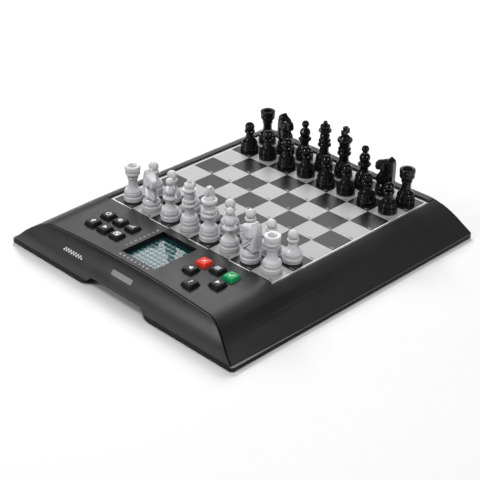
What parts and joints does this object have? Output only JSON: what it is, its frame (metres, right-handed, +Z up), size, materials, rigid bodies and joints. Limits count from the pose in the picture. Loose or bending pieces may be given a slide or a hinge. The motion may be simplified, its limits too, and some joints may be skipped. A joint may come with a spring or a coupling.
{
  "type": "electronic chess computer",
  "caption": "Flat tabletop chess computer: sloping dark case with a sunken sensor board, a square display, sprung keys, and a set of weighted-base plastic chess pieces.",
  "frame": {"origin": "under the middle of the case, on the surface that the rubber feet stand on", "axes": "+X to the player's right along the ranks, +Y away from the player from rank 1 to rank 8, +Z up"},
  "size_m": [0.2728, 0.2978, 0.0762],
  "materials": {
    "case_top": "fine satin texture, dark grey",
    "case_bottom": "fine satin texture, near black",
    "board_film": "printed film, satin, light and dark grey squares",
    "display_window": "clear, polished",
    "display_glass": "pale grey-green liquid crystal glass",
    "circuit_board": "green solder mask",
    "silicone": "matt",
    "jack_plastic": "semi-gloss black",
    "cell_sleeve": null,
    "foot_rubber": "matt black",
    "key_black": null,
    "key_red": "satin red",
    "key_green": "satin green",
    "piece_white": "polished light grey-white",
    "piece_black": "polished black"
  },
  "bodies": {
    "case": {"top_cover": "case_top", "bottom_cover": "case_bottom", "sensor_board": "board_film", "lcd_window": "display_window", "lcd_module": "display_glass", "main_board": "circuit_board", "keypad_mat": "silicone", "power_jack": "jack_plastic", "battery_cell_1": "cell_sleeve", "battery_cell_2": "cell_sleeve", "battery_cell_3": "cell_sleeve", "foot_front_left": "foot_rubber", "foot_front_right": "foot_rubber", "foot_back_left": "foot_rubber", "foot_back_right": "foot_rubber"},
    "battery_door": {"battery_door": "case_bottom"},
    "key_power": {"key_power": "key_black"},
    "key_hint": {"key_hint": "key_black"},
    "key_level": {"key_level": "key_black"},
    "key_light": {"key_light": "key_black"},
    "key_play": {"key_play": "key_black"},
    "key_new_game": {"key_new_game": "key_black"},
    "key_clear": {"key_clear": "key_red"},
    "key_menu": {"key_menu": "key_black"},
    "key_enter": {"key_enter": "key_green"},
    "key_arrow_left": {"key_arrow_left": "key_black"},
    "key_arrow_right": {"key_arrow_right": "key_black"},
    "key_help": {"key_help": "key_black"},
    "white_rook_a1": {"white_rook_a1": "piece_white"},
    "white_knight_b1": {"white_knight_b1": "piece_white"},
    "white_bishop_c1": {"white_bishop_c1": "piece_white"},
    "white_queen_d1": {"white_queen_d1": "piece_white"},
    "white_king_e1": {"white_king_e1": "piece_white"},
    "white_bishop_f1": {"white_bishop_f1": "piece_white"},
    "white_knight_g1": {"white_knight_g1": "piece_white"},
    "white_rook_h1": {"white_rook_h1": "piece_white"},
    "white_pawn_a2": {"white_pawn_a2": "piece_white"},
    "white_pawn_b2": {"white_pawn_b2": "piece_white"},
    "white_pawn_c2": {"white_pawn_c2": "piece_white"},
    "white_pawn_d2": {"white_pawn_d2": "piece_white"},
    "white_pawn_e2": {"white_pawn_e2": "piece_white"},
    "white_pawn_f2": {"white_pawn_f2": "piece_white"},
    "white_pawn_g2": {"white_pawn_g2": "piece_white"},
    "white_pawn_h2": {"white_pawn_h2": "piece_white"},
    "black_rook_a8": {"black_rook_a8": "piece_black"},
    "black_knight_b8": {"black_knight_b8": "piece_black"},
    "black_bishop_c8": {"black_bishop_c8": "piece_black"},
    "black_queen_d8": {"black_queen_d8": "piece_black"},
    "black_king_e8": {"black_king_e8": "piece_black"},
    "black_bishop_f8": {"black_bishop_f8": "piece_black"},
    "black_knight_g8": {"black_knight_g8": "piece_black"},
    "black_rook_h8": {"black_rook_h8": "piece_black"},
    "black_pawn_a7": {"black_pawn_a7": "piece_black"},
    "black_pawn_b7": {"black_pawn_b7": "piece_black"},
    "black_pawn_c7": {"black_pawn_c7": "piece_black"},
    "black_pawn_d7": {"black_pawn_d7": "piece_black"},
    "black_pawn_e7": {"black_pawn_e7": "piece_black"},
    "black_pawn_f7": {"black_pawn_f7": "piece_black"},
    "black_pawn_g7": {"black_pawn_g7": "piece_black"},
    "black_pawn_h7": {"black_pawn_h7": "piece_black"}
  },
  "joints": [
    {"name": "battery_door_hinge", "type": "hinge", "parent": "case", "child": "battery_door", "pos_m": [0, 0.0669, 0.002], "axis": [1, 0, 0], "range_deg": [0, 100]},
    {"name": "key_power_press", "type": "slide", "parent": "case", "child": "key_power", "axis": [0, 0, -1], "range_m": [0, 0.0012], "stiffness_N_per_m": 400, "springref_m": -0.0005},
    {"name": "key_hint_press", "type": "slide", "parent": "case", "child": "key_hint", "axis": [0, 0, -1], "range_m": [0, 0.0012], "stiffness_N_per_m": 400, "springref_m": -0.0005},
    {"name": "key_level_press", "type": "slide", "parent": "case", "child": "key_level", "axis": [0, 0, -1], "range_m": [0, 0.0012], "stiffness_N_per_m": 400, "springref_m": -0.0005},
    {"name": "key_light_press", "type": "slide", "parent": "case", "child": "key_light", "axis": [0, 0, -1], "range_m": [0, 0.0012], "stiffness_N_per_m": 400, "springref_m": -0.0005},
    {"name": "key_play_press", "type": "slide", "parent": "case", "child": "key_play", "axis": [0, 0, -1], "range_m": [0, 0.0012], "stiffness_N_per_m": 400, "springref_m": -0.0005},
    {"name": "key_new_game_press", "type": "slide", "parent": "case", "child": "key_new_game", "axis": [0, 0, -1], "range_m": [0, 0.0012], "stiffness_N_per_m": 400, "springref_m": -0.0005},
    {"name": "key_clear_press", "type": "slide", "parent": "case", "child": "key_clear", "axis": [0, 0, -1], "range_m": [0, 0.0012], "stiffness_N_per_m": 400, "springref_m": -0.0005},
    {"name": "key_menu_press", "type": "slide", "parent": "case", "child": "key_menu", "axis": [0, 0, -1], "range_m": [0, 0.0012], "stiffness_N_per_m": 400, "springref_m": -0.0005},
    {"name": "key_enter_press", "type": "slide", "parent": "case", "child": "key_enter", "axis": [0, 0, -1], "range_m": [0, 0.0012], "stiffness_N_per_m": 400, "springref_m": -0.0005},
    {"name": "key_arrow_left_press", "type": "slide", "parent": "case", "child": "key_arrow_left", "axis": [0, 0, -1], "range_m": [0, 0.0012], "stiffness_N_per_m": 400, "springref_m": -0.0005},
    {"name": "key_arrow_right_press", "type": "slide", "parent": "case", "child": "key_arrow_right", "axis": [0, 0, -1], "range_m": [0, 0.0012], "stiffness_N_per_m": 400, "springref_m": -0.0005},
    {"name": "key_help_press", "type": "slide", "parent": "case", "child": "key_help", "axis": [0, 0, -1], "range_m": [0, 0.0012], "stiffness_N_per_m": 400, "springref_m": -0.0005},
    {"name": "white_rook_a1_lift", "type": "slide", "parent": "case", "child": "white_rook_a1", "axis": [0, 0, 1], "range_m": [0, 0.06]},
    {"name": "white_knight_b1_lift", "type": "slide", "parent": "case", "child": "white_knight_b1", "axis": [0, 0, 1], "range_m": [0, 0.06]},
    {"name": "white_bishop_c1_lift", "type": "slide", "parent": "case", "child": "white_bishop_c1", "axis": [0, 0, 1], "range_m": [0, 0.06]},
    {"name": "white_queen_d1_lift", "type": "slide", "parent": "case", "child": "white_queen_d1", "axis": [0, 0, 1], "range_m": [0, 0.06]},
    {"name": "white_king_e1_lift", "type": "slide", "parent": "case", "child": "white_king_e1", "axis": [0, 0, 1], "range_m": [0, 0.06]},
    {"name": "white_bishop_f1_lift", "type": "slide", "parent": "case", "child": "white_bishop_f1", "axis": [0, 0, 1], "range_m": [0, 0.06]},
    {"name": "white_knight_g1_lift", "type": "slide", "parent": "case", "child": "white_knight_g1", "axis": [0, 0, 1], "range_m": [0, 0.06]},
    {"name": "white_rook_h1_lift", "type": "slide", "parent": "case", "child": "white_rook_h1", "axis": [0, 0, 1], "range_m": [0, 0.06]},
    {"name": "white_pawn_a2_lift", "type": "slide", "parent": "case", "child": "white_pawn_a2", "axis": [0, 0, 1], "range_m": [0, 0.06]},
    {"name": "white_pawn_b2_lift", "type": "slide", "parent": "case", "child": "white_pawn_b2", "axis": [0, 0, 1], "range_m": [0, 0.06]},
    {"name": "white_pawn_c2_lift", "type": "slide", "parent": "case", "child": "white_pawn_c2", "axis": [0, 0, 1], "range_m": [0, 0.06]},
    {"name": "white_pawn_d2_lift", "type": "slide", "parent": "case", "child": "white_pawn_d2", "axis": [0, 0, 1], "range_m": [0, 0.06]},
    {"name": "white_pawn_e2_lift", "type": "slide", "parent": "case", "child": "white_pawn_e2", "axis": [0, 0, 1], "range_m": [0, 0.06]},
    {"name": "white_pawn_f2_lift", "type": "slide", "parent": "case", "child": "white_pawn_f2", "axis": [0, 0, 1], "range_m": [0, 0.06]},
    {"name": "white_pawn_g2_lift", "type": "slide", "parent": "case", "child": "white_pawn_g2", "axis": [0, 0, 1], "range_m": [0, 0.06]},
    {"name": "white_pawn_h2_lift", "type": "slide", "parent": "case", "child": "white_pawn_h2", "axis": [0, 0, 1], "range_m": [0, 0.06]},
    {"name": "black_rook_a8_lift", "type": "slide", "parent": "case", "child": "black_rook_a8", "axis": [0, 0, 1], "range_m": [0, 0.06]},
    {"name": "black_knight_b8_lift", "type": "slide", "parent": "case", "child": "black_knight_b8", "axis": [0, 0, 1], "range_m": [0, 0.06]},
    {"name": "black_bishop_c8_lift", "type": "slide", "parent": "case", "child": "black_bishop_c8", "axis": [0, 0, 1], "range_m": [0, 0.06]},
    {"name": "black_queen_d8_lift", "type": "slide", "parent": "case", "child": "black_queen_d8", "axis": [0, 0, 1], "range_m": [0, 0.06]},
    {"name": "black_king_e8_lift", "type": "slide", "parent": "case", "child": "black_king_e8", "axis": [0, 0, 1], "range_m": [0, 0.06]},
    {"name": "black_bishop_f8_lift", "type": "slide", "parent": "case", "child": "black_bishop_f8", "axis": [0, 0, 1], "range_m": [0, 0.06]},
    {"name": "black_knight_g8_lift", "type": "slide", "parent": "case", "child": "black_knight_g8", "axis": [0, 0, 1], "range_m": [0, 0.06]},
    {"name": "black_rook_h8_lift", "type": "slide", "parent": "case", "child": "black_rook_h8", "axis": [0, 0, 1], "range_m": [0, 0.06]},
    {"name": "black_pawn_a7_lift", "type": "slide", "parent": "case", "child": "black_pawn_a7", "axis": [0, 0, 1], "range_m": [0, 0.06]},
    {"name": "black_pawn_b7_lift", "type": "slide", "parent": "case", "child": "black_pawn_b7", "axis": [0, 0, 1], "range_m": [0, 0.06]},
    {"name": "black_pawn_c7_lift", "type": "slide", "parent": "case", "child": "black_pawn_c7", "axis": [0, 0, 1], "range_m": [0, 0.06]},
    {"name": "black_pawn_d7_lift", "type": "slide", "parent": "case", "child": "black_pawn_d7", "axis": [0, 0, 1], "range_m": [0, 0.06]},
    {"name": "black_pawn_e7_lift", "type": "slide", "parent": "case", "child": "black_pawn_e7", "axis": [0, 0, 1], "range_m": [0, 0.06]},
    {"name": "black_pawn_f7_lift", "type": "slide", "parent": "case", "child": "black_pawn_f7", "axis": [0, 0, 1], "range_m": [0, 0.06]},
    {"name": "black_pawn_g7_lift", "type": "slide", "parent": "case", "child": "black_pawn_g7", "axis": [0, 0, 1], "range_m": [0, 0.06]},
    {"name": "black_pawn_h7_lift", "type": "slide", "parent": "case", "child": "black_pawn_h7", "axis": [0, 0, 1], "range_m": [0, 0.06]}
  ]
}
